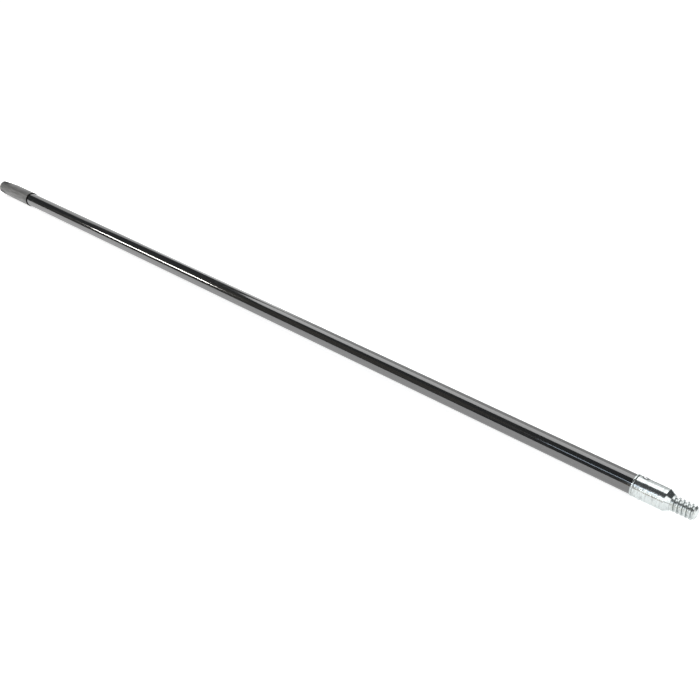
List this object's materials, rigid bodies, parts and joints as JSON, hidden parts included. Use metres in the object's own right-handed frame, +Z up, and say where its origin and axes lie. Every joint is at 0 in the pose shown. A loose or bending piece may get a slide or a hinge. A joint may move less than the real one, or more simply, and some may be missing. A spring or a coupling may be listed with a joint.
{
  "type": "roller extension pole",
  "caption": "One-piece painter's pole: straight steel tube with a threaded metal tip at one end and a closed hand grip with a hanging hole at the other.",
  "frame": {"origin": "on the pole's axis, in the plane of the shoulder where the threaded tip's thread begins", "axes": "+X along the pole, out of its threaded end; +Z up, with the pole lying down"},
  "size_m": [1.524, 0.028, 0.0286],
  "materials": {
    "black_enamel": "gloss",
    "zinc_plate": "bright, faintly streaked",
    "rivet_zinc": "bright",
    "grip_plastic": "satin"
  },
  "bodies": {
    "root": {"pole_tube": "black_enamel", "threaded_tip": "zinc_plate", "tip_rivet_upper": "rivet_zinc", "tip_rivet_lower": "rivet_zinc", "hand_grip": "grip_plastic"}
  },
  "joints": []
}
